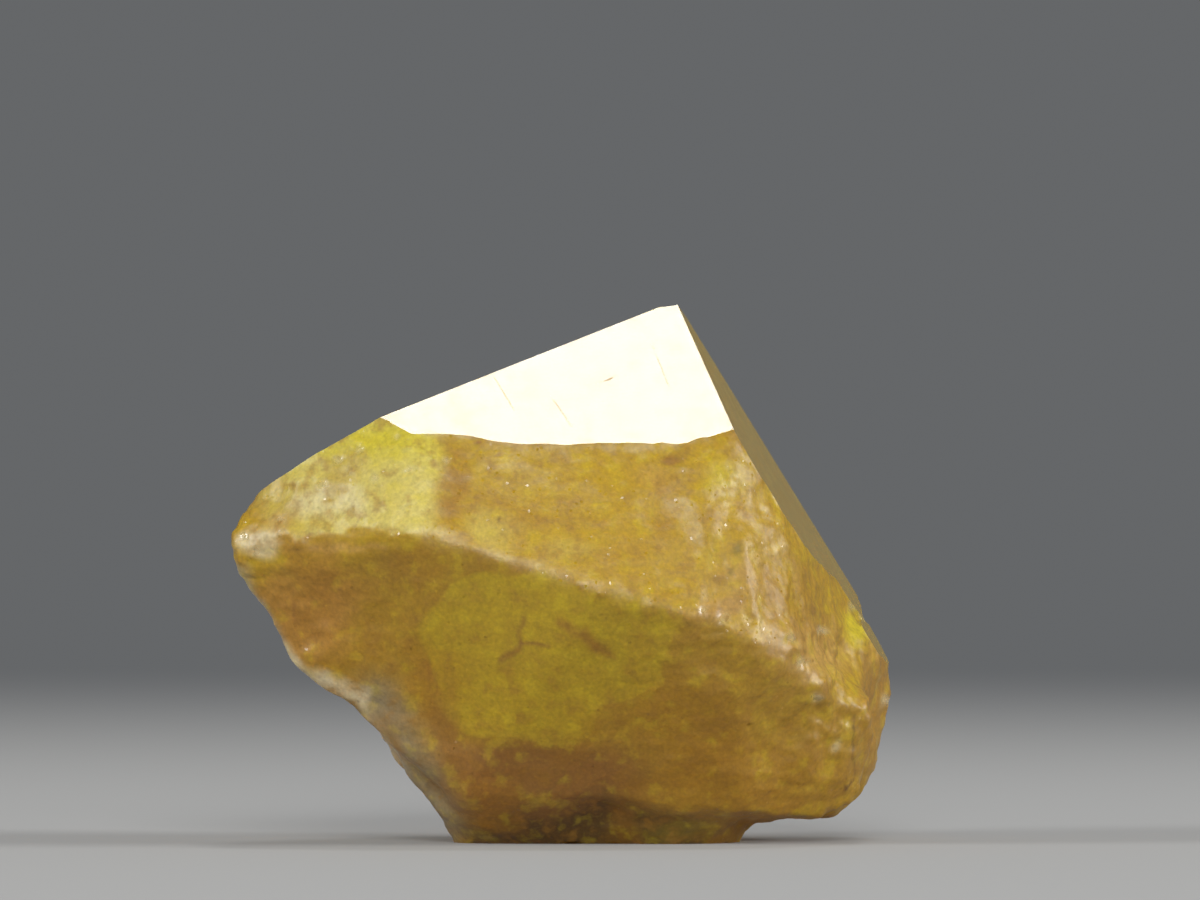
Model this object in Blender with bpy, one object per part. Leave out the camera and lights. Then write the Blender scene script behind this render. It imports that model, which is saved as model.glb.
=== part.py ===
"""Rhodizite crystal: one corner of a large rhombic dodecahedron, broken off its parent crystal.

Three grown faces meet in the tip, a fourth lies slightly deeper beside it, and all four are true planes.
Everything below them is broken surface: an upper and a lower front break that meet in a ridge, a lobe on
the left, a knob on the right, and a small flat underneath that the piece rests on. Front is -Y, right is
+X, and the origin is on the resting flat, under the middle of the piece.
"""

from collections import namedtuple
from math import floor, radians

import bmesh
import bpy
from mathutils import Euler, Vector, noise

# Driving dimensions: the piece's real width in metres, and how the fourfold axis leans from upright
WIDTH = 0.015
LEAN = Euler((radians(-7.7), radians(15.3), radians(-12.5)))

# The broken surface is first meshed evenly at this spacing in metres, then thinned to this share
MESH_SPACING = 0.0002
MESH_SHARE = 0.36

# Shape points are in millimetres, over the ground plane that cuts the foot flat
MM = 0.001
TIP = Vector((2.62, 0.0, 12.6))
TIP_CHIP_DEPTH = 0.2
# The left face lies this much deeper than the three that meet in the tip
LEFT_FACE_DEPTH = 0.11

# Directions of the four grown faces round the fourfold axis, before the lean
GROWN_FACES = {
    "front": (0, -1, 1),
    "right": (1, 0, 1),
    "left": (-1, 0, 1),
    "back": (0, 1, 1),
}

# The ridge between the two front breaks, from the left tip to where it fades on the right
RIDGE = [
    (-7.3, -3.6, 6.65),
    (-5.96, -4.7, 7.1),
    (-4.83, -5.15, 7.3),
    (-3.0, -5.55, 7.1),
    (0.85, -5.85, 5.85),
    (2.9, -5.65, 5.25),
    (4.45, -5.0, 4.65),
    (5.4, -4.15, 4.1),
    (6.05, -3.2, 3.55),
]
BODY = RIDGE + [
    # the upper front break, carried up past the grown faces that cut it
    (-7.4, -3.4, 6.95),
    (-7.3, -3.3, 7.45),
    (-7.1, -3.25, 7.8),
    (-6.6, -3.3, 8.3),
    (-4.5, -2.85, 12.6),
    (2.0, -2.4, 13.4),
    (3.9, -2.1, 13.4),
    (4.4, -0.7, 12.7),
    (7.2, 5.3, 7.0),
    # the left lobe's lower edge
    (-7.3, -2.8, 6.6),
    (-6.75, -3.2, 5.35),
    (-6.4, -3.1, 4.5),
    (-5.95, -3.1, 4.0),
    (-5.3, -3.3, 3.95),
    (-4.35, -3.4, 3.75),
    # the lower front break's bottom edge
    (-2.4, -2.9, 1.1),
    (4.1, -2.9, 0.65),
    (5.95, -1.7, 0.45),
    (6.85, -1.1, 1.05),
    (6.7, -1.6, 3.2),
    # the breaks at the back
    (-7.0, 0.5, 7.5),
    (-5.5, 3.0, 8.6),
    (-2.8, 5.2, 9.0),
    (2.0, 5.2, 8.0),
    (5.5, 5.0, 6.0),
    (-1.5, 4.9, 5.0),
    (3.0, 4.9, 4.6),
    (6.3, 4.2, 4.2),
    (-1.8, 2.4, 0.5),
    (3.5, 2.5, 0.6),
    (5.5, 2.8, 1.2),
]
# What it stands on, carried below the ground plane that cuts it flat
FOOT = [
    (-2.3, -0.9, -0.3),
    (-1.2, -1.5, -0.3),
    (2.6, -1.6, -0.3),
    (3.9, -1.0, -0.3),
    (4.0, 0.5, -0.3),
    (2.9, 2.1, -0.3),
    (0.2, 2.5, -0.3),
    (-1.9, 1.2, -0.3),
    (-2.4, -2.9, 1.2),
    (3.9, -3.0, 1.1),
    (4.4, -1.0, 0.9),
    (4.0, 3.0, 1.5),
    (-2.3, 3.0, 1.5),
    (-3.0, 0.0, 1.0),
]
REAR_SLAB = [
    (-4.4, -1.8, 3.9),
    (-4.05, -1.6, 2.95),
    (-3.7, -1.8, 2.15),
    (-3.45, -1.8, 1.4),
    (-2.55, -2.0, 0.35),
    (-2.3, 1.8, 0.3),
    (-4.3, 1.5, 3.0),
    (-4.5, 1.8, 4.2),
    (-1.0, -2.0, 0.5),
    (-1.5, 2.0, 3.0),
]
KNOB = [
    (7.4, 1.4, 4.85),
    (7.55, 1.6, 3.4),
    (7.72, 1.8, 2.8),
    (7.4, 1.6, 1.85),
    (7.1, 1.2, 1.25),
    (6.5, 0.6, 0.6),
    (6.0, 0.4, 0.4),
    (7.2, 3.7, 4.6),
    (7.1, 3.8, 2.8),
    (6.0, 3.2, 1.0),
    (6.95, -0.1, 4.95),
    (6.9, -0.2, 3.0),
    (6.9, 0.1, 2.0),
    (5.0, 0.0, 4.5),
    (5.0, 0.5, 0.8),
    (5.0, 3.5, 3.0),
]

# Shell-shaped scars left by pieces that flaked away: middle of the flake's ball, and its radius
SCARS = [
    ((-7.0, 7.6, 2.2), 6.6),
    ((-7.0, -1.6, 0.6), 3.6),
]
# Chips knocked off the edges where grown faces meet: the two faces, way down the edge, and radius
EDGE_CHIPS = [
    ("front", "left", 3.2, 0.30),
    ("front", "left", 1.1, 0.35),
    ("left", "back", 2.6, 0.45),
    ("left", "back", 5.9, 0.6),
    ("right", "back", 4.4, 0.35),
    ("right", "back", 8.2, 0.5),
    ("front", "right", 2.9, 0.18),
]

# Places rougher or smoother than the rest: middle and reach in millimetres, and how rough
ROUGH_SPOTS = [
    (Vector((6.2, -2.0, 3.4)), 2.4, 2.4),
    (Vector((7.4, 1.5, 3.0)), 2.0, 1.4),
    (Vector((-7.3, -3.4, 7.1)), 1.2, 2.0),
    (Vector((-1.5, -4.5, 3.9)), 5.6, 0.1),
    (Vector((3.2, -3.6, 2.2)), 3.4, 0.5),
    (Vector((0.0, -4.6, 8.2)), 5.0, 0.35),
]

# The layers of relief on a break: how wide and how high in millimetres, and where each is read from
Layer = namedtuple("Layer", "width height start")
SWELL = Layer(3.1, 0.10, Vector((4.0, 1.0, 7.0)))
LUMPS = Layer(0.8, 0.05, Vector((9.0, 3.0, 2.0)))
WIDE_SHELLS = Layer(2.3, 0.30, Vector((1.3, 8.1, 4.4)))
SMALL_SHELLS = Layer(0.85, 0.09, Vector((6.2, 2.7, 0.9)))
LEDGES = Layer(2.3, 0.21, Vector((3.1, 0.7, 5.5)))
TREADS = 5
# The bending that keeps the relief from looking regular: how wide, how far, and a start for each axis
BEND_WIDTH = 1.7
BEND_HEIGHT = 0.45
BEND_STARTS = [Vector((1.2, 7.6, 6.9)), Vector((2.3, 4.5, 4.0)), Vector((5.9, 7.1, 0.8))]


def clear_scene():
    for obj in list(bpy.data.objects):
        bpy.data.objects.remove(obj)


def object_from(name, bm):
    mesh = bpy.data.meshes.new(name)
    bm.to_mesh(mesh)
    bm.free()
    obj = bpy.data.objects.new(name, mesh)
    bpy.context.scene.collection.objects.link(obj)
    return obj


def lump(name, points):
    """A convex lump of broken crystal round the given points."""
    bm = bmesh.new()
    for point in points:
        bm.verts.new(Vector(point) * MM)
    hull = bmesh.ops.convex_hull(bm, input=bm.verts)
    unused = [g for g in hull["geom_interior"] if isinstance(g, bmesh.types.BMVert)]
    bmesh.ops.delete(bm, geom=unused, context="VERTS")
    bmesh.ops.recalc_face_normals(bm, faces=bm.faces)
    return object_from(name, bm)


def apply_modifiers(obj):
    evaluated = obj.evaluated_get(bpy.context.evaluated_depsgraph_get())
    baked = bpy.data.meshes.new_from_object(evaluated)
    obj.modifiers.clear()
    obj.data = baked


def unite(obj, others):
    for other in others:
        join = obj.modifiers.new("join " + other.name, "BOOLEAN")
        join.operation = "UNION"
        join.object = other
    apply_modifiers(obj)
    for other in others:
        bpy.data.objects.remove(other)


def even_grain(obj):
    """Gives the whole surface one even mesh, with the corners between the lumps softened."""
    grid = obj.modifiers.new("even grain", "REMESH")
    grid.mode = "VOXEL"
    grid.voxel_size = MESH_SPACING
    soften = obj.modifiers.new("soften", "SMOOTH")
    soften.factor = 0.5
    soften.iterations = 6
    apply_modifiers(obj)


def fade(distance, reach):
    """1 at the middle of a spot, falling smoothly to 0 at its reach."""
    share = min(distance / reach, 1.0)
    return (1.0 - share * share) ** 2


def roughness_at(p):
    rough = 1.0
    for middle, reach, factor in ROUGH_SPOTS:
        rough += (factor - 1.0) * fade((p - middle).length, reach)
    return rough


def waves(p, layer):
    return layer.height * noise.noise(p / layer.width + layer.start)


def shells(p, layer):
    """Hollow shells that meet in sharp ridges, as glassy minerals break."""
    distances, middles = noise.voronoi(p / layer.width + layer.start)
    usual = 0.3
    return layer.height * (distances[0] ** 2 - usual)


def ledges(p, layer):
    """Flat treads with short steep steps between them."""
    height = TREADS * noise.noise(p / layer.width + layer.start)
    tread = floor(height)
    step_share = 0.3
    step = min((height - tread) / step_share, 1.0)
    return layer.height * (tread + step * step * (3.0 - 2.0 * step)) / TREADS


def bend(p):
    """Moves a point sideways a little, a different way at every place."""
    return p + BEND_HEIGHT * Vector([noise.noise(p / BEND_WIDTH + start) for start in BEND_STARTS])


def relief(p):
    """How far the broken surface stands out at a point, in millimetres."""
    bent = bend(p)
    broken = shells(bent, WIDE_SHELLS) + shells(bent, SMALL_SHELLS) + ledges(bent, LEDGES)
    return waves(p, SWELL) + roughness_at(p) * (broken + waves(p, LUMPS))


def break_surface(obj):
    bm = bmesh.new()
    bm.from_mesh(obj.data)
    bm.normal_update()
    moves = [v.normal * relief(v.co / MM) * MM for v in bm.verts]
    for vert, move in zip(bm.verts, moves):
        vert.co += move
    bm.to_mesh(obj.data)
    bm.free()


def thin_mesh(obj):
    thin = obj.modifiers.new("thin", "DECIMATE")
    thin.ratio = MESH_SHARE
    apply_modifiers(obj)


def cutter_from(bm, location):
    cutter = object_from("cutter", bm)
    cutter.location = location
    cutter.display_type = "WIRE"
    cutter.hide_render = True
    return cutter


def subtract(obj, cutter):
    bpy.context.view_layer.update()
    cut = obj.modifiers.new("cut", "BOOLEAN")
    cut.operation = "DIFFERENCE"
    cut.object = cutter
    apply_modifiers(obj)
    bpy.data.objects.remove(cutter)


def cut_plane(obj, point, normal):
    """Cuts away what lies beyond a plane and closes the cut."""
    size = 3 * WIDTH
    bm = bmesh.new()
    bmesh.ops.create_cube(bm, size=size)
    cutter = cutter_from(bm, point * MM + normal * size / 2)
    cutter.rotation_euler = normal.to_track_quat("Z", "Y").to_euler()
    subtract(obj, cutter)


def scoop(obj, middle, radius, fineness):
    """Takes a hollow with the shape of a ball out of the piece."""
    bm = bmesh.new()
    bmesh.ops.create_icosphere(bm, subdivisions=fineness, radius=radius * MM)
    subtract(obj, cutter_from(bm, middle * MM))


def settle(obj):
    """Scales the piece to its real width and sets its box on the ground, over the origin."""
    xs, ys, zs = zip(*(v.co for v in obj.data.vertices))
    scale = WIDTH / (max(xs) - min(xs))
    middle = Vector((max(xs) + min(xs), max(ys) + min(ys), 2 * min(zs))) / 2
    for vert in obj.data.vertices:
        vert.co = (vert.co - middle) * scale


def face_normal(name):
    return LEAN.to_matrix() @ Vector(GROWN_FACES[name]).normalized()


def chip_edge(obj, face_a, face_b, way, radius):
    """Takes a small chip out of the edge between two grown faces, some way down from the tip."""
    ball_above_edge = 0.86
    normal_a = face_normal(face_a)
    normal_b = face_normal(face_b)
    along = normal_a.cross(normal_b).normalized()
    if along.z > 0:
        along = -along
    outward = (normal_a + normal_b).normalized()
    scoop(obj, TIP + along * way + outward * radius * ball_above_edge, radius, 2)


def crystal_material():
    """Glassy golden yellow, partly see-through."""
    material = bpy.data.materials.new("crystal")
    material.use_nodes = True
    shader = material.node_tree.nodes["Principled BSDF"]
    shader.inputs["Base Color"].default_value = (0.62, 0.45, 0.07, 1.0)
    shader.inputs["Metallic"].default_value = 0.0
    shader.inputs["Roughness"].default_value = 0.3
    shader.inputs["IOR"].default_value = 1.69
    shader.inputs["Transmission Weight"].default_value = 0.5
    return material


def main():
    clear_scene()
    crystal = lump("crystal", BODY)
    unite(crystal, [lump("foot", FOOT), lump("slab", REAR_SLAB), lump("knob", KNOB)])
    for middle, radius in SCARS:
        scoop(crystal, Vector(middle), radius, 5)
    even_grain(crystal)
    break_surface(crystal)
    thin_mesh(crystal)
    for name in GROWN_FACES:
        depth = LEFT_FACE_DEPTH if name == "left" else 0.0
        cut_plane(crystal, TIP - face_normal(name) * depth, face_normal(name))
    cut_plane(crystal, TIP - Vector((0, 0, TIP_CHIP_DEPTH)), Vector((-0.1, -0.1, 1)).normalized())
    for face_a, face_b, way, radius in EDGE_CHIPS:
        chip_edge(crystal, face_a, face_b, way, radius)
    cut_plane(crystal, Vector((0, 0, 0)), Vector((0, 0, -1)))
    settle(crystal)
    crystal.data.materials.clear()
    crystal.data.materials.append(crystal_material())


main()
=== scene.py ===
# %% [markdown]
# # A golden rhodizite crystal
#
# This lesson dresses one broken-off crystal: a corner of a rhombic dodecahedron, fifteen millimetres wide,
# with four flat grown faces on top and glassy breaks everywhere below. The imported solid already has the
# right size and shape, so it is loaded first and everything else is measured from it.

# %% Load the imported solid
from math import pi, radians

import bmesh
import bpy
import numpy as np
from mathutils import Euler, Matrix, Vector, noise
from mathutils.bvhtree import BVHTree


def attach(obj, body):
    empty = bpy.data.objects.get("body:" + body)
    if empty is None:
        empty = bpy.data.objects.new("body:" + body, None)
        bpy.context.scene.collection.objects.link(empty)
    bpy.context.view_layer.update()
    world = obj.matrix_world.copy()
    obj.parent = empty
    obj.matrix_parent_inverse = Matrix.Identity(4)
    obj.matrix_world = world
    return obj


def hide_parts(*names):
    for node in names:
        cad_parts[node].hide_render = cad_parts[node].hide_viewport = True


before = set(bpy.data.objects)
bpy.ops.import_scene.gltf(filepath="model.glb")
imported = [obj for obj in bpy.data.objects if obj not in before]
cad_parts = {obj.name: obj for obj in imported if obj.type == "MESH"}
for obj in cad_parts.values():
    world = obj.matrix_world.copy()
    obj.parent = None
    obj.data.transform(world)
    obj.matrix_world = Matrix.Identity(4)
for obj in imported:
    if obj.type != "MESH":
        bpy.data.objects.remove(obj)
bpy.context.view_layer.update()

MM = 0.001
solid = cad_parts["crystal"]

# %% [markdown]
# Rhodizite grows as a rhombic dodecahedron. Round its fourfold axis lie four faces whose directions have
# whole-number parts, so leaning those four directions together gives the grown faces of this piece. The
# lean was found by turning a perfect crystal until its edges lay like the real ones. No point of the solid
# lies beyond a grown face, so each face's distance from the origin is how far the solid reaches that way.

# %% The grown faces' directions and distances
LEAN = Euler((radians(-7.7), radians(15.3), radians(-12.5))).to_matrix()
GROWN_FACES = {
    "front": (LEAN @ Vector((0, -1, 1))).normalized(),
    "right": (LEAN @ Vector((1, 0, 1))).normalized(),
    "left": (LEAN @ Vector((-1, 0, 1))).normalized(),
    "back": (LEAN @ Vector((0, 1, 1))).normalized(),
}
REACH = {
    name: max(normal.dot(v.co) for v in solid.data.vertices)
    for name, normal in GROWN_FACES.items()
}
for name, normal in GROWN_FACES.items():
    print(name, "face looks along", [round(x, 3) for x in normal], "at", round(REACH[name] / MM, 2), "mm")

# %% [markdown]
# The solid's breaks are made of small flat triangles. Subdividing them would keep their uneven pattern. A
# voxel remesh forgets it and gives even squares all over, but it also rounds the grown faces' crisp edges.
# So the grown faces are first raised straight up, like a block, and the block is cut off again later.

# %% Raise the grown faces
BLOCK = 1.0 * MM
ON_FACE = 0.003 * MM
SAME_PLACE = 0.0001 * MM


def on_grown_face(points):
    """Whether these points all lie on one grown face."""
    return any(
        all(REACH[name] - normal.dot(point) < ON_FACE for point in points)
        for name, normal in GROWN_FACES.items()
    )


bm = bmesh.new()
bm.from_mesh(solid.data)
bmesh.ops.remove_doubles(bm, verts=bm.verts, dist=SAME_PLACE)
grown = [face for face in bm.faces if on_grown_face([v.co for v in face.verts])]
raised = bmesh.ops.extrude_face_region(bm, geom=grown)
tops = [part for part in raised["geom"] if isinstance(part, bmesh.types.BMVert)]
bmesh.ops.translate(bm, verts=tops, vec=(0, 0, BLOCK))
mesh = bpy.data.meshes.new("crystal body")
bm.to_mesh(mesh)
bm.free()
crystal = bpy.data.objects.new("crystal_body", mesh)
bpy.context.scene.collection.objects.link(crystal)
print("raised", len(grown), "triangles of the grown faces")

# %% [markdown]
# The remesh fills the block with small cubes and wraps a skin of squares round them. The squares are less
# than a tenth of a millimetre wide, just small enough to carry the finest grain of the breaks. A modifier
# only shows its result, so that result is taken over as the crystal's own mesh.

# %% Give the whole surface an even, fine mesh
SQUARE = 0.07 * MM

grid = crystal.modifiers.new("even grid", "REMESH")
grid.mode = "VOXEL"
grid.voxel_size = SQUARE
evaluated = crystal.evaluated_get(bpy.context.evaluated_depsgraph_get())
even = bpy.data.meshes.new_from_object(evaluated)
crystal.modifiers.clear()
crystal.data = even
print("even mesh:", len(even.polygons), "squares")

# %% [markdown]
# The remesh still shows the solid's flat triangles, so they are melted away by moving each point towards
# the middle of its neighbours. That alone would also shrink corners and thin edges. So each step is
# followed by a slightly longer one the other way, which puts the large forms back and leaves the small
# bumps melted.

# %% Melt the solid's triangles away without shrinking its corners
MELT_ROUNDS = 18
MELT_IN = 0.5
MELT_OUT = -0.515


def neighbour_middles(points, edges, counts):
    """For each point, the middle of the points that share an edge with it."""
    ends = np.concatenate([edges[:, 0], edges[:, 1]])
    others = np.concatenate([edges[:, 1], edges[:, 0]])
    sums = [np.bincount(ends, weights=points[others, axis], minlength=len(points)) for axis in range(3)]
    return np.stack(sums, axis=1) / counts[:, None]


points = np.zeros(len(even.vertices) * 3)
even.vertices.foreach_get("co", points)
points = points.reshape(-1, 3)
edges = np.zeros(len(even.edges) * 2, int)
even.edges.foreach_get("vertices", edges)
edges = edges.reshape(-1, 2)
counts = np.bincount(edges.ravel(), minlength=len(points))
for _ in range(MELT_ROUNDS):
    for share in (MELT_IN, MELT_OUT):
        points += share * (neighbour_middles(points, edges, counts) - points)
print("melted", len(points), "points")

# %% [markdown]
# Real breaks meet in crisp ridges, and the remesh has rounded them. A much softer copy shows where: each
# point that stands proud of the softer copy lies on a ridge, so it is pushed a little further out, and
# each hollow further in. The same measure, kept as a value called edge, later tells the material where
# the ridges are painted paler: partly wear, and partly a painted highlight where they catch the light.

# %% Sharpen the ridges
SOFT_ROUNDS = 40
SOFT_STEP = 0.5
SHARPEN = 0.7
FLAT_ENOUGH = 0.035 * MM
FURTHEST = 0.12 * MM
NEVER_ZERO = 1e-9


def store(mesh, name, values):
    """Keeps one number for each point of a mesh, under a name that a material can read."""
    kept = mesh.attributes.new(name, "FLOAT", "POINT")
    kept.data.foreach_set("value", values.astype(np.float32))


soft = points.copy()
for _ in range(SOFT_ROUNDS):
    soft += SOFT_STEP * (neighbour_middles(soft, edges, counts) - soft)
proud = points - soft
length = np.linalg.norm(proud, axis=1)
push = np.clip(SHARPEN * (length - FLAT_ENOUGH), 0.0, FURTHEST) / np.maximum(length, NEVER_ZERO)
points += proud * push[:, None]
even.vertices.foreach_set("co", points.ravel())
even.update()
normals = np.array([v.normal for v in even.vertices])
edge_values = (proud * normals).sum(axis=1) / MM
store(even, "edge", edge_values)
print("ridges stand", round(edge_values.max(), 3), "mm proud, hollows", round(edge_values.min(), 3))

# %% [markdown]
# Noise that is read at plain places comes out a little regular. So a place is first pushed sideways by a
# slow sway, and the shells and ripples that are read there look bent. The sway is three noises, one for
# each axis. Each starts at its own fixed place, so every run gives the same crystal.

# %% A sideways sway
SWAY_STARTS = [Vector((3.1, 0.4, 7.7)), Vector((6.8, 2.2, 1.9)), Vector((0.7, 5.3, 4.6))]


def sway(p):
    """A sideways push between -1 and 1 on each axis, which changes smoothly from place to place."""
    return Vector([noise.noise(p + start) for start in SWAY_STARTS])


print("sway at the origin:", [round(x, 2) for x in sway(Vector((0, 0, 0)))])

# %% [markdown]
# Knocks have left small chips whose fresh floors shine white. Shallow shells have come off just below the
# front grown face too, which gives its lower edge its scallops. Noise could scatter such marks, but these
# are few and plain to see, so each one is listed.

# %% Chips and shells, listed one by one
# A chip's row: how far right and up its middle lies, and its reach, all in millimetres
SHINY_CHIPS = [
    (-3.8, 9.3, 0.14),
    (-4.6, 8.95, 0.16),
    (-5.05, 8.75, 0.2),
    (-4.25, 8.35, 0.16),
    (-3.45, 8.45, 0.13),
    (-5.4, 8.15, 0.17),
    (-6.35, 7.4, 0.14),
    (-7.2, 7.0, 0.2),
    (-6.9, 6.7, 0.18),
    (-2.6, 8.7, 0.1),
    (5.4, 4.15, 0.22),
    (5.15, 4.7, 0.2),
    (5.75, 3.4, 0.22),
    (6.2, 2.25, 0.2),
    (6.65, 5.4, 0.2),
    (6.9, 5.1, 0.18),
    (3.2, 5.35, 0.16),
    (3.6, 5.15, 0.18),
    (5.9, 4.9, 0.18),
    (7.4, 3.2, 0.25),
]
# A shell's row gives its depth too, and one with less than no depth stands out as a lump
EDGE_SHELLS = [
    (1.5, 9.25, 1.5, 0.17),
    (-0.45, 9.0, 0.6, 0.05),
    (3.1, 9.1, 0.45, 0.05),
    (0.35, 9.3, 0.22, -0.04),
]
DEPTH_PER_REACH = 0.18
DENTS = [(across, up, reach, DEPTH_PER_REACH * reach) for across, up, reach in SHINY_CHIPS] + EDGE_SHELLS
FURTHEST_BACK = -1.0
WAVER = 0.12
WAVES_PER_MM = 5.0


def fade(distance, reach):
    """1 in the middle, falling softly to 0 at the reach."""
    share = min(distance / reach, 1.0)
    return (1.0 - share * share) ** 2


def chip_depth(p):
    """How deep the chips and shells are at this point of the front."""
    if p.y > FURTHEST_BACK:
        return 0.0
    bent = p + WAVER * sway(p * WAVES_PER_MM)
    return sum(
        depth * fade(((bent.x - across) ** 2 + (bent.z - up) ** 2) ** 0.5, reach)
        for across, up, reach, depth in DENTS
    )


print(len(SHINY_CHIPS), "chips and", len(EDGE_SHELLS), "shells")

# %% [markdown]
# Glassy minerals break in shallow shells that meet in sharp little ridges, with finer ripples and grain on
# them. Sculpting them by hand would take long and look regular, so each point is moved along its normal by
# a few layers of noise, every layer lower than the one before.

# %% Fine relief of the breaks
# A row: the middle of a rough or smooth spot, its reach, and how many times as rough it is
ROUGH_SPOTS = [
    (Vector((6.3, -2.2, 3.6)), 2.4, 2.0),
    (Vector((7.0, 1.4, 3.0)), 2.6, 1.3),
    (Vector((-7.2, -3.4, 6.9)), 1.5, 2.2),
    (Vector((-1.0, -4.5, 3.6)), 5.4, 0.35),
    (Vector((-0.5, -4.6, 8.0)), 5.5, 0.35),
]
# Sizes, heights and bends are in millimetres, and ripples are counted per millimetre
BEND = 0.12
BENDS_PER_MM = 1.7
SHELL_SIZE = 0.55
SHELL_HEIGHT = 0.045
FLAKE_SIZE = 0.22
FLAKE_HEIGHT = 0.022
FLAKE_START = Vector((7, 3, 1))
RIPPLES_ACROSS = 1.1
RIPPLES_UP = 5.5
RIPPLE_HEIGHT = 0.012
GRAIN_SIZE = 0.16
GRAIN_HEIGHT = 0.008
# What the shells' noise usually is: it comes off, so that the crystal keeps its size
USUAL = 0.25


def roughness_at(p):
    """How many times as rough as usual the break is at this point."""
    rough = 1.0
    for middle, reach, factor in ROUGH_SPOTS:
        rough += (factor - 1.0) * fade((p - middle).length, reach)
    return rough


def fine_relief(p):
    """How far out this point moves, in millimetres, below zero for a hollow."""
    bent = p + BEND * sway(p * BENDS_PER_MM)
    shell = noise.voronoi(bent / SHELL_SIZE)[0][0] ** 2 - USUAL
    flake = noise.voronoi(bent / FLAKE_SIZE + FLAKE_START)[0][0] ** 2 - USUAL
    ripple = noise.noise(Vector((bent.x * RIPPLES_ACROSS, bent.y * RIPPLES_ACROSS, bent.z * RIPPLES_UP)))
    grain = noise.noise(p / GRAIN_SIZE)
    broken = SHELL_HEIGHT * shell + FLAKE_HEIGHT * flake + RIPPLE_HEIGHT * ripple + GRAIN_HEIGHT * grain
    return roughness_at(p) * broken - chip_depth(p)


bm = bmesh.new()
bm.from_mesh(crystal.data)
bm.normal_update()
moves = [v.normal * fine_relief(v.co / MM) * MM for v in bm.verts]
for vert, move in zip(bm.verts, moves):
    vert.co += move
print("relief on", len(moves), "points, up to", round(max(m.length for m in moves) / MM, 3), "mm")

# %% [markdown]
# The grown faces are the one thing on this crystal that is truly flat, and so is the small flat that it
# rests on. A plane cuts away all that lies beyond it, the raised blocks too, and flat triangles close the
# cut. That leaves dead straight edges, which no remesh could. Under the foot nothing was raised, so the
# relief leaves hollows a fiftieth of a millimetre deep there. The closing triangles lie across them, and
# some edges of that flat don't join exactly two faces.

# %% Cut the grown faces and the resting flat


def cut_flat(bm, point, normal):
    """Cuts away what lies beyond a plane and closes the cut with flat triangles."""
    parts = list(bm.verts) + list(bm.edges) + list(bm.faces)
    cut = bmesh.ops.bisect_plane(
        bm, geom=parts, plane_co=point, plane_no=normal, dist=SAME_PLACE, clear_outer=True
    )
    rim = [part for part in cut["geom_cut"] if isinstance(part, bmesh.types.BMEdge)]
    closed = bmesh.ops.triangle_fill(bm, edges=rim, use_beauty=True)
    return [part for part in closed["geom"] if isinstance(part, bmesh.types.BMFace)]


FLATS = [(normal, REACH[name]) for name, normal in GROWN_FACES.items()]
FLATS.append((Vector((0, 0, -1)), 0.0))
for normal, reach in FLATS:
    flat = cut_flat(bm, normal * reach, normal)
    print("cut along", [round(x, 2) for x in normal], "closed with", len(flat), "triangles")
bmesh.ops.recalc_face_normals(bm, faces=bm.faces)

# %% [markdown]
# Light should run softly over the breaks and stop short at the grown faces' edges. So only the breaks are
# shaded smooth, and every edge of a flat is marked sharp.

# %% Flat faces are shaded flat, and the breaks smooth
SAME_WAY = 0.999


def lies_flat(face):
    """Whether this face is part of a grown face or of the resting flat."""
    middle = face.calc_center_median()
    return any(
        normal.dot(face.normal) > SAME_WAY and abs(normal.dot(middle) - reach) < ON_FACE
        for normal, reach in FLATS
    )


for face in bm.faces:
    face.smooth = not lies_flat(face)
for edge in bm.edges:
    edge.smooth = all(face.smooth for face in edge.link_faces)
bm.to_mesh(crystal.data)
print("edges that don't join two faces:", sum(len(edge.link_faces) != 2 for edge in bm.edges))
print("crystal:", sum(len(face.verts) - 2 for face in bm.faces), "triangles")

# %% [markdown]
# A clear golden solid looks pale where it is thin and deep where it is thick. A renderer finds that for
# the light that passes straight through, but not for the cloudy part that scatters it. So the way through
# the piece is measured from each point along a few directions, and the painting below starts from it.

# %% Measure how thick the piece is under each point
RAY_SPREAD = 0.7
THICKEST = 9.0
JUST_INSIDE = 0.02
surface = BVHTree.FromBMesh(bm)


def ray_ways(normal):
    """Five ways into the piece: straight in, and leaning to four sides."""
    side = normal.orthogonal().normalized()
    other = normal.cross(side)
    tilts = [(0, 0), (1, 0), (-1, 0), (0, 1), (0, -1)]
    return [(-normal + RAY_SPREAD * (a * side + b * other)).normalized() for a, b in tilts]


def thickness_at(point, normal):
    """The mean way through the piece from this point, in millimetres."""
    total = 0.0
    ways = ray_ways(normal)
    for way in ways:
        hit = surface.ray_cast(point + way * JUST_INSIDE * MM, way, THICKEST * MM)
        total += min(hit[3] / MM if hit[0] else THICKEST, THICKEST)
    return total / len(ways)


depth_values = np.array([thickness_at(v.co, v.normal) for v in bm.verts])
vert_places = np.array([v.co / MM for v in bm.verts])
vert_normals = np.array([v.normal for v in bm.verts])
bm.free()
print("depth from", round(depth_values.min(), 2), "to", round(depth_values.max(), 2), "mm")

# %% [markdown]
# Seen from the front, the crystal is a patchwork. The upper left is pale and milky, a brown band follows,
# then clear gold. Below the ridge a greenish window shows, with pinkish brown round it. Those zones are the
# first thing the eye picks out, so each one gets its own patch, in a paint from a short list. The break
# below the ridge looks down, away from the lamps, so its browns are laid darker than their own tint, as
# painted shade, and a painted shadow darkens the bottom where the piece rests.

# %% The colours, named


def paint(code):
    """A colour from six hexadecimal digits, as the shader wants it."""
    channels = [int(code[i : i + 2], 16) / 255 for i in (0, 2, 4)]
    linear = [c / 12.92 if c <= 0.04045 else ((c + 0.055) / 1.055) ** 2.4 for c in channels]
    return (*linear, 1.0)


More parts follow.
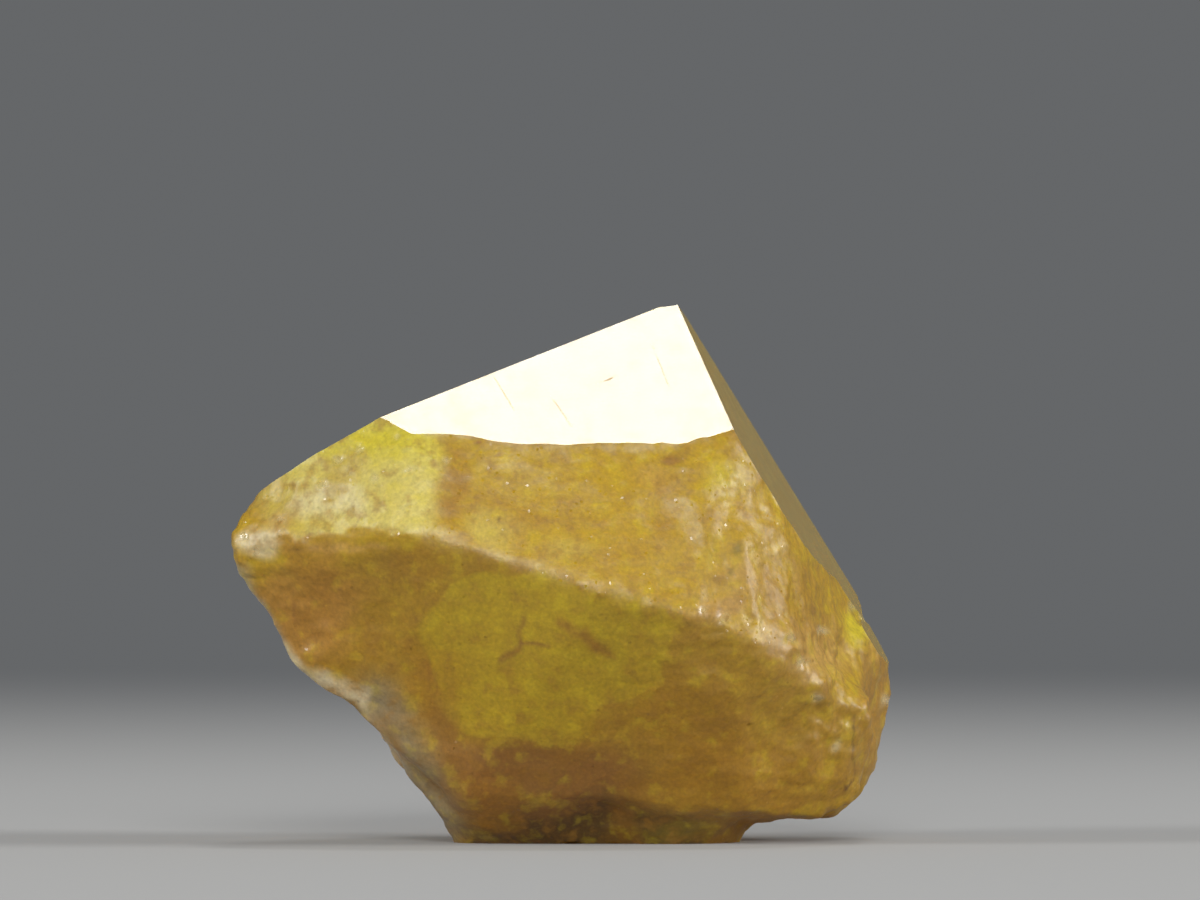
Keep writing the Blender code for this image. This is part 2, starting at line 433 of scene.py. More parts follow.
PAINTS = {
    "gold": paint("ceac04"),
    "deep gold": paint("bb9204"),
    "amber": paint("aa7a04"),
    "milk": paint("e6d868"),
    "cream": paint("efe7bf"),
    "lime": paint("e2d41e"),
    "brown": paint("ad7f18"),
    "rust": paint("94581c"),
    "pink": paint("d0a35e"),
    "rose brown": paint("b68236"),
    "window": paint("c0a411"),
    "window edge": paint("a57f18"),
    "umber": paint("8d6122"),
    "olive": paint("85740c"),
    "grey rim": paint("c2b68c"),
    "grey slab": paint("938b6c"),
    "dark": paint("422e08"),
}
print(len(PAINTS), "paints")

# %% [markdown]
# The zones could be one painted picture laid over the crystal, but a picture can't be changed a bit at a
# time. Rows can, and each says what it is. Places and sizes are in millimetres as seen from the front, to
# the right of the middle and up from the resting flat, and later rows lie over earlier ones.

# %% The patches, spots and lines
# A patch's row: middle, half width, half height, softness of the edge, paint, strength, and which way the
# surface has to look
FRONT_PATCHES = [
    (-4.9, 8.2, 2.55, 2.4, 0.25, "milk", 0.95, "up"),
    (-4.2, 9.0, 1.9, 0.8, 0.6, "lime", 0.85, "up"),
    (-5.3, 7.7, 1.3, 0.5, 0.6, "cream", 0.4, "up"),
    (-6.6, 7.4, 0.6, 0.35, 0.6, "pink", 0.45, "up"),
    (-7.1, 6.95, 0.75, 0.55, 0.6, "cream", 0.6, "any"),
    (-2.55, 8.1, 0.55, 1.15, 0.6, "brown", 0.8, "up"),
    (-1.2, 8.5, 1.6, 0.7, 0.7, "gold", 0.8, "up"),
    (-1.6, 7.1, 0.9, 0.6, 0.7, "milk", 0.45, "up"),
    (0.1, 6.7, 1.2, 0.5, 0.8, "milk", 0.3, "up"),
    (2.2, 8.4, 1.0, 0.4, 0.8, "pink", 0.3, "up"),
    (3.9, 8.2, 0.9, 0.8, 0.8, "lime", 0.4, "up"),
    (4.1, 6.0, 1.0, 0.8, 0.8, "pink", 0.35, "up"),
    (3.4, 5.3, 1.2, 0.35, 0.6, "pink", 0.5, "any"),
    (5.7, 5.9, 0.9, 0.7, 0.8, "deep gold", 0.7, "up"),
    (5.5, 4.3, 1.3, 1.2, 0.7, "pink", 0.5, "any"),
    (6.8, 5.0, 0.6, 0.7, 0.6, "lime", 0.7, "any"),
    (7.1, 2.8, 0.6, 2.2, 0.5, "rose brown", 0.55, "any"),
    # Below the ridge, where the surface looks down: the real window and browns, laid darker as painted
    # shade
    (0.0, 3.0, 9.0, 5.0, 0.2, "window edge", 0.7, "down"),
    (-5.9, 5.4, 1.8, 1.9, 0.6, "rose brown", 0.65, "down"),
    (-3.9, 6.2, 1.2, 0.8, 0.8, "window edge", 0.6, "down"),
    (-0.9, 4.4, 2.3, 2.0, 0.07, "window", 0.9, "down"),
    (1.4, 4.7, 1.3, 1.25, 0.06, "window", 0.8, "down"),
    (-0.2, 3.0, 1.1, 0.75, 0.08, "window", 0.75, "down"),
    (-0.6, 1.5, 3.9, 1.35, 0.6, "umber", 0.9, "down"),
    (-2.6, 2.7, 0.8, 1.1, 0.7, "umber", 0.6, "down"),
    (2.8, 3.0, 1.6, 1.6, 0.7, "amber", 0.5, "down"),
    (4.2, 1.6, 2.4, 1.3, 0.7, "amber", 0.6, "down"),
    (5.0, 0.8, 1.6, 0.4, 0.7, "brown", 0.6, "down"),
    # Painted shadow: a dark patch along the bottom, where the piece rests
    (0.5, 0.1, 4.4, 1.25, 0.6, "dark", 0.9, "down"),
    (2.6, 0.35, 1.2, 0.4, 0.7, "olive", 0.6, "down"),
]
# A spot's row: middle, half width, half height, paint and strength
SPOTS = [
    (2.45, 8.72, 0.32, 0.18, "rust", 0.6),
    (-2.85, 8.6, 0.14, 0.1, "rust", 0.6),
    (-1.9, 9.05, 0.12, 0.07, "rust", 0.8),
    (-1.45, 8.85, 0.18, 0.08, "rust", 0.5),
    (-1.45, 7.4, 0.06, 0.12, "dark", 0.8),
    (3.95, 6.75, 0.22, 0.2, "olive", 0.7),
    (3.8, 6.2, 0.1, 0.16, "olive", 0.6),
    (6.45, 1.25, 0.12, 0.12, "dark", 0.9),
    (-6.05, 5.35, 0.08, 0.4, "umber", 0.6),
]
# A line's row: one end, the other end, width, paint and strength
LINES = [
    (-4.2, 3.2, -2.9, 0.6, 2.2, "grey slab", 0.95),
    (-4.5, 3.2, -3.3, 0.9, 0.5, "cream", 0.4),
    (-1.4, 4.15, -0.95, 4.65, 0.26, "umber", 0.65),
    (-0.95, 4.65, -0.9, 5.15, 0.2, "umber", 0.55),
    (-0.95, 4.65, -0.35, 4.5, 0.13, "umber", 0.65),
    (-0.05, 5.1, 1.05, 4.35, 0.42, "rust", 0.6),
    (-3.15, 4.1, -2.85, 3.55, 0.26, "rust", 0.5),
    (6.35, 1.15, 6.6, 1.35, 0.1, "dark", 0.9),
    (6.6, 2.9, 6.63, 1.5, 0.1, "dark", 0.6),
    (-7.3, 6.2, -6.95, 5.3, 0.7, "grey rim", 0.8),
    (-6.95, 5.3, -6.4, 4.3, 0.8, "grey rim", 0.85),
    (-6.6, 4.65, -6.1, 4.1, 0.6, "cream", 0.7),
    (-6.1, 4.1, -5.4, 3.7, 0.6, "cream", 0.75),
    (-5.4, 3.7, -4.5, 3.35, 0.6, "cream", 0.75),
    (-6.3, 6.7, -4.0, 6.8, 0.3, "pink", 0.35),
]
print(len(FRONT_PATCHES), "patches,", len(SPOTS), "spots and", len(LINES), "lines")

# %% [markdown]
# The patches are painted straight onto the points of the mesh, which lie closer together than the smallest
# patch. A patch or a spot is an oval and a line is a straight stroke, both with soft edges. An edge that
# wavers looks grown rather than stencilled, so a point's place is bent by noise before it is compared.

# %% Helpers for painting
tone = np.tile(np.array(PAINTS["gold"][:3]), (len(vert_places), 1))


def smooth_step(values, zero_at, one_at):
    """A smooth rise from 0 to 1 between two values."""
    share = np.clip((values - zero_at) / (one_at - zero_at), 0.0, 1.0)
    return share * share * (3.0 - 2.0 * share)


def bend(places, size, amount):
    """Places moved by noise whose lumps are about size millimetres."""
    return places + amount * np.array([sway(Vector(place) / size) for place in places])


def oval(places, across, up, wide, tall, softness):
    """1 inside an oval and 0 outside it, with a soft edge."""
    gap = np.hypot((places[:, 0] - across) / wide, (places[:, 2] - up) / tall)
    return 1.0 - smooth_step(gap, 1.0 - softness, 1.0)


def stroke(places, x0, z0, x1, z1, width):
    """1 along a straight line, fading to 0 at half its width."""
    along = np.array([x1 - x0, z1 - z0])
    away = places[:, [0, 2]] - np.array([x0, z0])
    share = np.clip(away @ along / (along @ along), 0.0, 1.0)
    gap = np.linalg.norm(away - share[:, None] * along, axis=1)
    return 1.0 - smooth_step(gap, 0.0, width / 2)


def lay(mask, colour):
    """Lays a paint over the tone where the mask says."""
    tone[:] = tone + mask[:, None] * (np.array(PAINTS[colour][:3]) - tone)


print("every point starts as gold:", len(tone), "points")

# %% [markdown]
# The ground comes first: pale where the piece is thin and deep gold where it is thick. Then come the
# patches, the spots and the lines, each row over the one before it, and only where the surface looks to
# the front. Wide clouds of amber tie them together, and last the chips get a cream painted highlight, their
# glint painted into the colour.

# %% Paint the patches onto the mesh
THIN_MILK = 0.9
DEEP_GOLD = 0.5
SPOT_SOFTNESS = 0.7
AMBER_CLOUD = 1.5
AMBER = 0.35
CHIP_SOFTNESS = 0.9
CHIP_PAINTED_HIGHLIGHT = 0.4
wavering = bend(vert_places, size=1.5, amount=0.45)
rippling = bend(vert_places, size=0.45, amount=0.13)
faces_up = smooth_step(vert_normals[:, 2], zero_at=0.0, one_at=0.25)
faces_front = smooth_step(-vert_normals[:, 1], zero_at=-0.5, one_at=0.0)
# Patches for the break below the ridge go where the surface looks down; their darker browns are partly
# painted shade
SIDES = {"up": faces_up, "down": 1.0 - faces_up, "any": np.ones(len(faces_up))}
thin = 1.0 - smooth_step(depth_values, zero_at=0.2, one_at=2.2)
deep = smooth_step(depth_values, zero_at=3.0, one_at=7.5)

lay(THIN_MILK * thin, "milk")
lay(DEEP_GOLD * deep, "deep gold")
for across, up, wide, tall, softness, colour, strength, side in FRONT_PATCHES:
    mask = oval(wavering, across, up, wide, tall, softness)
    lay(strength * mask * faces_front * SIDES[side], colour)
for across, up, wide, tall, colour, strength in SPOTS:
    lay(strength * oval(rippling, across, up, wide, tall, SPOT_SOFTNESS) * faces_front, colour)
for x0, z0, x1, z1, width, colour, strength in LINES:
    lay(strength * stroke(rippling, x0, z0, x1, z1, width) * faces_front, colour)
clouds = np.array([noise.noise(Vector(place) / AMBER_CLOUD) for place in wavering])
lay(AMBER * smooth_step(clouds, zero_at=0.0, one_at=0.4), "amber")
# The chips' glint is a painted highlight: cream laid into their colour, on top of their real low roughness.
chip_gloss_and_highlight = np.zeros(len(vert_places))
for across, up, reach in SHINY_CHIPS:
    chip_gloss_and_highlight = np.maximum(chip_gloss_and_highlight, oval(rippling, across, up, reach, reach, CHIP_SOFTNESS) * faces_front)
lay(CHIP_PAINTED_HIGHLIGHT * chip_gloss_and_highlight, "cream")

painted = crystal.data.attributes.new("tone", "FLOAT_COLOR", "POINT")
painted.data.foreach_set("color", np.column_stack([tone, np.ones(len(tone))]).astype(np.float32).ravel())
store(crystal.data, "chip_gloss_and_highlight", chip_gloss_and_highlight)
print("painted", len(tone), "points; mean colour", tone.mean(axis=0).round(2))

# %% [markdown]
# Materials in Blender are small trees of nodes. These helpers each place one node and return what comes out
# of it, so that a material reads like arithmetic. Positions are turned into millimetres first, which keeps
# every size in the material a size on the real crystal.

# %% Helpers for shader nodes


def feed(tree, socket, value):
    """Gives a socket what comes out of another node, or a plain value."""
    if isinstance(value, bpy.types.NodeSocket):
        tree.links.new(value, socket)
    else:
        socket.default_value = value


def maths(tree, operation, *values, clamp=False):
    """One step of arithmetic with numbers."""
    node = tree.nodes.new("ShaderNodeMath")
    node.operation = operation
    node.use_clamp = clamp
    for socket, value in zip(node.inputs, values):
        feed(tree, socket, value)
    return node.outputs[0]


def scaled(tree, value, times, plus):
    """A value times one number, plus a second number or another value."""
    return maths(tree, "MULTIPLY_ADD", value, times, plus)


def vectors(tree, operation, *values, scale=None):
    """One step of arithmetic with positions or directions."""
    node = tree.nodes.new("ShaderNodeVectorMath")
    node.operation = operation
    for socket, value in zip(node.inputs, values):
        feed(tree, socket, value)
    if scale is not None:
        feed(tree, node.inputs["Scale"], scale)
    return node.outputs["Value" if operation in ("LENGTH", "DISTANCE", "DOT_PRODUCT") else "Vector"]


def between(tree, value, zero_at, one_at):
    """A smooth change from 0 to 1 between two values, which falls when the second is the lower one."""
    node = tree.nodes.new("ShaderNodeMapRange")
    node.interpolation_type = "SMOOTHSTEP"
    feed(tree, node.inputs["Value"], value)
    feed(tree, node.inputs["From Min"], zero_at)
    feed(tree, node.inputs["From Max"], one_at)
    return node.outputs["Result"]


def blend(tree, share, under, over, how="MIX"):
    """One colour laid over another: all of the upper one where the share is 1."""
    node = tree.nodes.new("ShaderNodeMix")
    node.data_type = "RGBA"
    node.blend_type = how
    feed(tree, node.inputs["Factor"], share)
    feed(tree, node.inputs["A"], under)
    feed(tree, node.inputs["B"], over)
    return node.outputs["Result"]


def mix(tree, share, under, over):
    """The same for numbers."""
    node = tree.nodes.new("ShaderNodeMix")
    feed(tree, node.inputs["Factor"], share)
    feed(tree, node.inputs["A"], under)
    feed(tree, node.inputs["B"], over)
    return node.outputs["Result"]


def cloud(tree, position, size, detail=1.0):
    """Noise whose lumps are about size millimetres, from 0 to 1."""
    node = tree.nodes.new("ShaderNodeTexNoise")
    feed(tree, node.inputs["Vector"], position)
    feed(tree, node.inputs["Scale"], 1 / size)
    feed(tree, node.inputs["Detail"], detail)
    feed(tree, node.inputs["Roughness"], 0.6)
    return node.outputs["Fac"]


def stored(tree, name):
    """The outputs of a node that reads what the mesh's points carry under this name."""
    node = tree.nodes.new("ShaderNodeAttribute")
    node.attribute_name = name
    return node.outputs


def new_group(name, inputs, outputs):
    """An empty node group: its tree, what goes in and what comes out."""
    group = bpy.data.node_groups.new(name, "ShaderNodeTree")
    for label, (kind, value) in inputs.items():
        socket = group.interface.new_socket(label, in_out="INPUT", socket_type=kind)
        socket.default_value = value
    for label, kind in outputs.items():
        group.interface.new_socket(label, in_out="OUTPUT", socket_type=kind)
    entry = group.nodes.new("NodeGroupInput")
    result = group.nodes.new("NodeGroupOutput")
    return group, entry.outputs, result.inputs


def use_group(tree, group, **values):
    """Places a group and gives its inputs their values by name."""
    node = tree.nodes.new("ShaderNodeGroup")
    node.node_tree = group
    for label, value in values.items():
        feed(tree, node.inputs[label], value)
    return node.outputs


print("helpers for shader nodes are ready")

# %% [markdown]
# A scratch is a thin line that fades out to both sides: the distance to a short straight line, cut off at
# half the scratch's width. Several are needed, so it is a node group with named inputs. A group is built
# once and placed as often as it is wanted, each time with its own values.

# %% A group for a thin line, such as a scratch
FLOAT = "NodeSocketFloat"
VECTOR = "NodeSocketVector"


def make_line_group():
    """A mask that is 1 on a line from Start to End and 0 beyond half its Width."""
    group, given, result = new_group(
        "line",
        {
            "Position": (VECTOR, (0, 0, 0)),
            "Start": (VECTOR, (0, 0, 0)),
            "End": (VECTOR, (1, 0, 0)),
            "Width": (FLOAT, 0.1),
        },
        {"Mask": FLOAT},
    )
    along = vectors(group, "SUBTRACT", given["End"], given["Start"])
    away = vectors(group, "SUBTRACT", given["Position"], given["Start"])
    square = vectors(group, "DOT_PRODUCT", along, along)
    share = maths(group, "DIVIDE", vectors(group, "DOT_PRODUCT", away, along), square, clamp=True)
    nearest = vectors(group, "SCALE", along, scale=share)
    gap = vectors(group, "DISTANCE", away, nearest)
    half = maths(group, "MULTIPLY", given["Width"], 0.5)
    mask = maths(group, "SUBTRACT", 1.0, between(group, gap, 0.0, half))
    group.links.new(mask, result["Mask"])
    return group


line_group = make_line_group()
print("group:", line_group.name)

# %% [markdown]
# The second group makes the glitter of a broken surface. Cells smaller than the eye can part each tilt the
# surface their own way, and chance keeps only a few of them, because real glints are rare. It is placed
# only once here, but as a group it can go into any other material with glitter in it.

# %% A group for glints: tiny flat facets that each lean their own way
HALF = (0.5, 0.5, 0.5)


def make_glint_group():
    """A mask of the chosen cells, and a normal that leans differently in each of them."""
    group, given, result = new_group(
        "glints",
        {
            "Position": (VECTOR, (0, 0, 0)),
            "Normal": (VECTOR, (0, 0, 1)),
            "Spacing": (FLOAT, 0.12),
            "Share": (FLOAT, 0.05),
            "Lean": (FLOAT, 0.8),
        },
        {"Mask": FLOAT, "Normal": VECTOR},
    )
    cells = group.nodes.new("ShaderNodeTexVoronoi")
    group.links.new(given["Position"], cells.inputs["Vector"])
    feed(group, cells.inputs["Scale"], maths(group, "DIVIDE", 1.0, given["Spacing"]))
    pick = group.nodes.new("ShaderNodeTexWhiteNoise")
    group.links.new(cells.outputs["Position"], pick.inputs["Vector"])
    chosen = maths(group, "LESS_THAN", pick.outputs["Value"], given["Share"])
    tilt = vectors(group, "SUBTRACT", cells.outputs["Color"], HALF)
    lean = maths(group, "MULTIPLY", chosen, given["Lean"])
    leaning = vectors(group, "ADD", given["Normal"], vectors(group, "SCALE", tilt, scale=lean))
    group.links.new(chosen, result["Mask"])
    group.links.new(vectors(group, "NORMALIZE", leaning), result["Normal"])
    return group


glint_group = make_glint_group()
print("group:", glint_group.name)

# %% [markdown]
# Cloudy yellow crystal is half see-through: some light passes straight in and comes out golden, and some is
# scattered just below the surface. One Principled shader does both, and one material serves the whole
# piece. Which faces are grown ones is read from the direction they look in, so no second material is
# needed on a body that light passes through.

# %% The crystal's material
SAME_FACE = 0.9995
material = bpy.data.materials.new("crystal")
material.use_nodes = True
tree = material.node_tree
shader = tree.nodes["Principled BSDF"]
coordinates = tree.nodes.new("ShaderNodeTexCoord")
position = vectors(tree, "SCALE", coordinates.outputs["Object"], scale=1 / MM)
geometry = tree.nodes.new("ShaderNodeNewGeometry")
grown_mask = 0.0
for normal in GROWN_FACES.values():
    facing = vectors(tree, "DOT_PRODUCT", geometry.outputs["True Normal"], tuple(normal))
    grown_mask = maths(tree, "MAXIMUM", grown_mask, maths(tree, "GREATER_THAN", facing, SAME_FACE))
body = blend(tree, grown_mask, stored(tree, "tone")["Color"], PAINTS["gold"])
print("painted tone on the breaks, plain gold on", len(GROWN_FACES), "grown faces")

# %% [markdown]
# A cloudy crystal is never one even tone. Soft noise shifts it between a browner and a yellower gold, and
# a fine grain on top breaks up what is left.

# %% Mottling
BROWNER_ON_BREAKS = 0.5
BROWNER_ON_GROWN = 0.15
BRIGHTER = 0.22
small_mottle = cloud(tree, position, size=0.45, detail=3.0)
fine_mottle = cloud(tree, position, size=0.09)
mottling = mix(tree, grown_mask, BROWNER_ON_BREAKS, BROWNER_ON_GROWN)
browner = maths(tree, "MULTIPLY", between(tree, small_mottle, zero_at=0.5, one_at=0.7), mottling)
body = blend(tree, browner, body, PAINTS["brown"])
brighter = maths(tree, "MULTIPLY", between(tree, small_mottle, zero_at=0.5, one_at=0.3), BRIGHTER)
body = blend(tree, brighter, body, PAINTS["lime"])
shade = scaled(tree, fine_mottle, times=0.6, plus=0.87)
shade = scaled(tree, small_mottle, times=-0.35, plus=shade)
body = blend(tree, 1.0, body, shade, how="MULTIPLY")
print("mottling laid over the painted tone")

# %% [markdown]
# Where two breaks meet, the edge is paler in a fine line: partly bruising, and partly a painted highlight
# where the ridge catches the light. The value called edge, kept while the ridges were sharpened, says
# where that is, and the fine grain breaks the line up.

# %% Wear and a painted highlight along the ridges
PALE_RIDGE_STARTS = 0.05
PALE_RIDGE_FULL = 0.16
WEAR_AND_HIGHLIGHT = 0.4
# Wear and painted highlight: ridges that stand proud are laid paler, towards cream.
ridge_wear_and_highlight = maths(tree, "MULTIPLY", between(tree, stored(tree, "edge")["Fac"], PALE_RIDGE_STARTS, PALE_RIDGE_FULL), WEAR_AND_HIGHLIGHT)
ridge_wear_and_highlight = maths(tree, "MULTIPLY", ridge_wear_and_highlight, between(tree, fine_mottle, zero_at=0.35, one_at=0.6))
body = blend(tree, ridge_wear_and_highlight, body, PAINTS["cream"])
print("ridges are paler where they stand more than", PALE_RIDGE_STARTS, "mm proud")

# %% [markdown]
# The grown faces are glossy and carry fine lines that growth left on them, along the edge between the
# front face and the right one. The front face also has a few hairline scratches and an oval mark. They are
# drawn faintly, because the lights' reflection nearly hides them.

# %% Marks on the grown faces
# A mark's row: one end, the other end and its width, in millimetres as seen from the front
FACE_MARKS = [
    (-1.65, 10.75, -1.1, 9.85, 0.06),
    (-0.3, 10.2, 0.2, 9.5, 0.05),
    (0.8, 10.46, 1.1, 10.58, 0.14),
    (2.0, 11.4, 2.4, 10.4, 0.05),
]
LINES_PER_MM = 5.0
BREAKS_PER_MM = 0.25
LINE_STRENGTH = 0.14
MARK_STRENGTH = 0.6


def on_front_face(x, z):
    """The point of the front grown face that is seen at this place from the front."""
    normal = GROWN_FACES["front"]
    y = (REACH["front"] / MM - normal.x * x - normal.z * z) / normal.y
    return (x, y, z)


mark_mask = 0.0
for x0, z0, x1, z1, width in FACE_MARKS:
    start = on_front_face(x0, z0)
    end = on_front_face(x1, z1)
    mark = use_group(tree, line_group, Position=position, Start=start, End=end, Width=width)["Mask"]
    mark_mask = maths(tree, "MAXIMUM", mark_mask, mark)
mark_mask = maths(tree, "MULTIPLY", mark_mask, between(tree, fine_mottle, zero_at=0.35, one_at=0.55))
edge_way = GROWN_FACES["front"].cross(GROWN_FACES["right"]).normalized()
across_way = edge_way.cross(GROWN_FACES["right"]).normalized()
across_edge = vectors(tree, "DOT_PRODUCT", position, tuple(across_way))
along_edge = vectors(tree, "DOT_PRODUCT", position, tuple(edge_way))
stretched = tree.nodes.new("ShaderNodeCombineXYZ")
feed(tree, stretched.inputs["X"], maths(tree, "MULTIPLY", across_edge, LINES_PER_MM))
feed(tree, stretched.inputs["Y"], maths(tree, "MULTIPLY", along_edge, BREAKS_PER_MM))
streaks = cloud(tree, stretched.outputs["Vector"], size=1.0, detail=3.0)
line_mask = maths(tree, "MULTIPLY", between(tree, streaks, zero_at=0.45, one_at=0.65), grown_mask)
body = blend(tree, maths(tree, "MULTIPLY", line_mask, LINE_STRENGTH), body, PAINTS["olive"])
body = blend(tree, maths(tree, "MULTIPLY", mark_mask, MARK_STRENGTH), body, PAINTS["brown"])
feed(tree, shader.inputs["Base Color"], body)
print("growth lines run along", [round(x, 2) for x in edge_way])

# %% [markdown]
# The breaks are waxy rather than wet, so their gloss is broken up by fine grain. On that grain sit tiny
# facets that each lean their own way; a few of them catch the light and glitter.

# %% Fine grain and glints
FINE_SHARE = 0.35
LINE_SHARE = 0.15
BUMP_STRENGTH = 0.45
BUMP_HEIGHT = 0.03 * MM
off_grown = maths(tree, "SUBTRACT", 1.0, grown_mask)
grain_height = scaled(tree, fine_mottle, times=FINE_SHARE, plus=small_mottle)
line_height = maths(tree, "MULTIPLY", streaks, LINE_SHARE)
bump = tree.nodes.new("ShaderNodeBump")
bump.inputs["Strength"].default_value = BUMP_STRENGTH
bump.inputs["Distance"].default_value = BUMP_HEIGHT
feed(tree, bump.inputs["Height"], mix(tree, grown_mask, grain_height, line_height))
glints = use_group(
    tree, glint_group, Position=position, Normal=bump.outputs["Normal"], Spacing=0.055, Share=0.02, Lean=0.5
)
glint_on = maths(tree, "MULTIPLY", glints["Mask"], off_grown)
lean = tree.nodes.new("ShaderNodeMix")
lean.data_type = "VECTOR"
feed(tree, lean.inputs["Factor"], glint_on)
feed(tree, lean.inputs["A"], bump.outputs["Normal"])
feed(tree, lean.inputs["B"], glints["Normal"])
feed(tree, shader.inputs["Normal"], lean.outputs["Result"])
print("glints over the breaks, none on the grown faces")

# %% [markdown]
# A rough surface spreads what it mirrors. The breaks are fairly rough, and their mottling varies it. The
# fresh chips are about as glossy as the grown faces. Those mirror nearly cleanly, and are a little duller
# in clouds and along their scratches.

# %% How rough each place is
GLINT_ROUGHNESS = 0.3
CHIP_ROUGHNESS = 0.12
rough = scaled(tree, small_mottle, times=0.3, plus=0.33)
rough = mix(tree, glint_on, rough, GLINT_ROUGHNESS)
rough = mix(tree, stored(tree, "chip_gloss_and_highlight")["Fac"], rough, CHIP_ROUGHNESS)
dulled = scaled(tree, between(tree, small_mottle, zero_at=0.45, one_at=0.65), times=0.06, plus=0.1)
rough = mix(tree, grown_mask, rough, scaled(tree, mark_mask, times=0.2, plus=dulled))
feed(tree, shader.inputs["Roughness"], rough)
print("roughness of chips", CHIP_ROUGHNESS, "and of glints", GLINT_ROUGHNESS)

# %% [markdown]
# Rhodizite bends light more than quartz does, which gives it its strong lustre. The volume inside takes
# out blue and a little green on the way through, so thick parts turn deep gold and thin edges stay pale.

# %% What the light does inside
WHAT_PASSES = (0.965, 0.875, 0.08, 1)
DENSITY_PER_METRE = 420
shader.inputs["IOR"].default_value = 1.69
shader.inputs["Specular IOR Level"].default_value = 0.22
shader.inputs["Transmission Weight"].default_value = 0.5
absorption = tree.nodes.new("ShaderNodeVolumeAbsorption")
absorption.inputs["Color"].default_value = WHAT_PASSES
absorption.inputs["Density"].default_value = DENSITY_PER_METRE
tree.links.new(absorption.outputs["Volume"], tree.nodes["Material Output"].inputs["Volume"])
crystal.data.materials.clear()
crystal.data.materials.append(material)
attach(crystal, "root")
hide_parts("crystal")
print("crystal material:", len(tree.nodes), "nodes")

# %% [markdown]
# Something this small is best shown in a plain room with soft light. A sky picture would be mirrored in
# the grown faces. So the world is one even tone up to a little above the horizon, and lighter overhead.

# %% The room round it
BACKDROP = (0.13, 0.135, 0.14, 1)
ABOVE = (0.28, 0.28, 0.28, 1)
scene = bpy.context.scene
scene.view_settings.view_transform = "Standard"
world = bpy.data.worlds.new("studio")
scene.world = world
world.use_nodes = True
sky = world.node_tree
direction = sky.nodes.new("ShaderNodeTexCoord").outputs["Generated"]
split = sky.nodes.new("ShaderNodeSeparateXYZ")
sky.links.new(direction, split.inputs[0])
high = between(sky, split.outputs["Z"], zero_at=0.15, one_at=0.7)
sky.links.new(blend(sky, high, BACKDROP, ABOVE), sky.nodes["Background"].inputs["Color"])
print("backdrop", BACKDROP[:3], "and overhead", ABOVE[:3])

# %% [markdown]
# The floor is a plain pale plane, and a plane's far edge would draw a line across the picture. A curved
# backdrop would hide it, but only from one side. Here the floor's own colour fades into the backdrop's from
# a few centimetres away, which works all round.

# %% Floor
FLOOR_WIDTH = 12.0
FLOOR_TONE = (0.36, 0.36, 0.355, 1)
FLOOR_NEAR = 0.03
FLOOR_FAR = 0.25
bpy.ops.mesh.primitive_plane_add(size=FLOOR_WIDTH)
floor = bpy.context.object
floor.name = "floor"
pale = bpy.data.materials.new("pale floor")
pale.use_nodes = True
floor_tree = pale.node_tree
matt = floor_tree.nodes["Principled BSDF"]
matt.inputs["Base Color"].default_value = FLOOR_TONE
matt.inputs["Roughness"].default_value = 0.9
away = vectors(floor_tree, "LENGTH", floor_tree.nodes.new("ShaderNodeTexCoord").outputs["Object"])
glow = floor_tree.nodes.new("ShaderNodeEmission")
glow.inputs["Color"].default_value = BACKDROP
fade_out = floor_tree.nodes.new("ShaderNodeMixShader")
feed(floor_tree, fade_out.inputs["Fac"], between(floor_tree, away, FLOOR_NEAR, FLOOR_FAR))
floor_tree.links.new(matt.outputs["BSDF"], fade_out.inputs[1])
floor_tree.links.new(glow.outputs["Emission"], fade_out.inputs[2])
floor_tree.links.new(fade_out.outputs["Shader"], floor_tree.nodes["Material Output"].inputs["Surface"])
floor.data.materials.append(pale)
print("floor fades out between", FLOOR_NEAR, "and", FLOOR_FAR, "m")

# %% [markdown]
# The front face is blinding white because it mirrors a lamp. A level line of sight that meets that face
# leaves it almost straight up, so that is where the first softbox hangs. The upper break mirrors what is
# just in front of that place, and any light there would lay a grey haze over its gold. So the top softbox
# is small, a second one stands low in front, and two more light the sides.

# %% Lights
LIGHT_DISTANCE = 0.6
CRYSTAL_CENTRE = Vector((0, 0, 0.006))
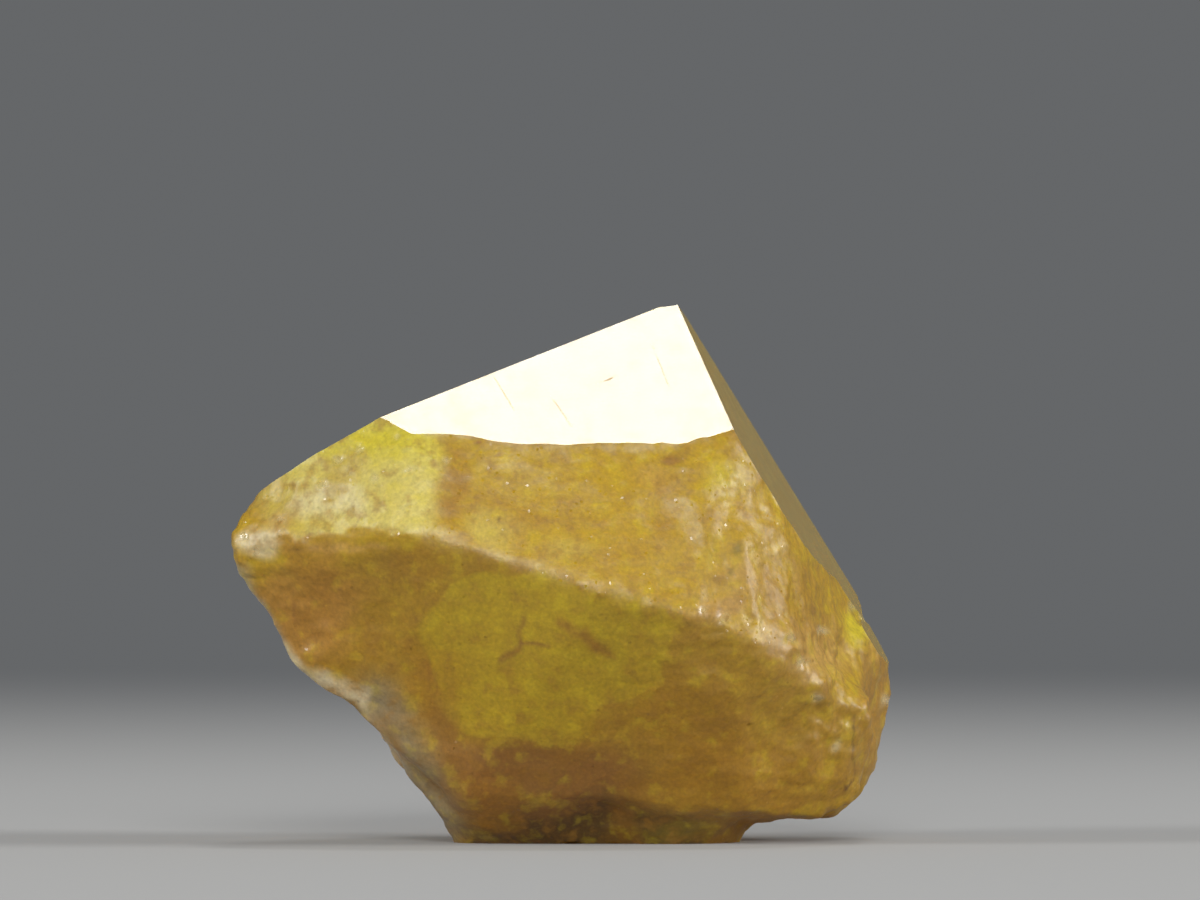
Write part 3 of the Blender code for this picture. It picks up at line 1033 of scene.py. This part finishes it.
# A softbox's row: the direction it stands in, its width and height in metres, and how bright it looks
SOFTBOXES = {
    "top softbox": ((0.094, 0.186, 0.979), (0.12, 0.1), 14),
    "front softbox": ((0.05, -1.0, 0.35), (0.2, 0.2), 21),
    "left softbox": ((-0.9, -0.35, 0.35), (0.2, 0.2), 15),
    "right softbox": ((0.95, -0.15, 0.3), (0.2, 0.2), 22),
}


def softbox(name, direction, size, radiance):
    """A lit panel that faces the crystal, and whose size doesn't change how bright it looks."""
    lamp = bpy.data.lights.new(name, "AREA")
    lamp.shape = "RECTANGLE"
    lamp.size, lamp.size_y = size
    lamp.energy = radiance * pi * size[0] * size[1]
    obj = bpy.data.objects.new(name, lamp)
    obj.location = CRYSTAL_CENTRE + Vector(direction).normalized() * LIGHT_DISTANCE
    obj.rotation_euler = Vector(direction).to_track_quat("Z", "Y").to_euler()
    scene.collection.objects.link(obj)
    print(name, "of", round(lamp.energy, 3), "W")


for name, (direction, size, radiance) in SOFTBOXES.items():
    softbox(name, direction, size, radiance)

# %% [markdown]
# The crystal was looked at level, from straight in front. A long lens far away would flatten it like a
# drawing, so the camera stands thirty centimetres off. Its lens and its place follow from where the
# crystal stands in the picture.

# %% Camera
# In pixels of the picture
PICTURE_WIDTH = 1200
PICTURE_MIDDLE = (600, 450)
CRYSTAL_WIDTH = 662
CRYSTAL_MIDDLE = 563
RESTING_LINE = 845
# The crystal's real width is in millimetres, and the distances are in metres
REAL_WIDTH = 15
PIXEL = REAL_WIDTH / CRYSTAL_WIDTH * MM
DISTANCE = 0.3
NEARER_FRONT = 0.0025
SENSOR = 36
camera = bpy.data.objects.new("camera", bpy.data.cameras.new("camera"))
scene.collection.objects.link(camera)
scene.camera = camera
right = (PICTURE_MIDDLE[0] - CRYSTAL_MIDDLE) * PIXEL
up = (RESTING_LINE - PICTURE_MIDDLE[1]) * PIXEL
camera.location = (right, -DISTANCE, up)
camera.rotation_euler = (radians(90), 0, 0)
camera.data.sensor_width = SENSOR
camera.data.lens = SENSOR * (DISTANCE - NEARER_FRONT) / (PICTURE_WIDTH * PIXEL)
camera.data.clip_start = 0.01
camera.data.clip_end = 20
print("lens", round(camera.data.lens), "mm")
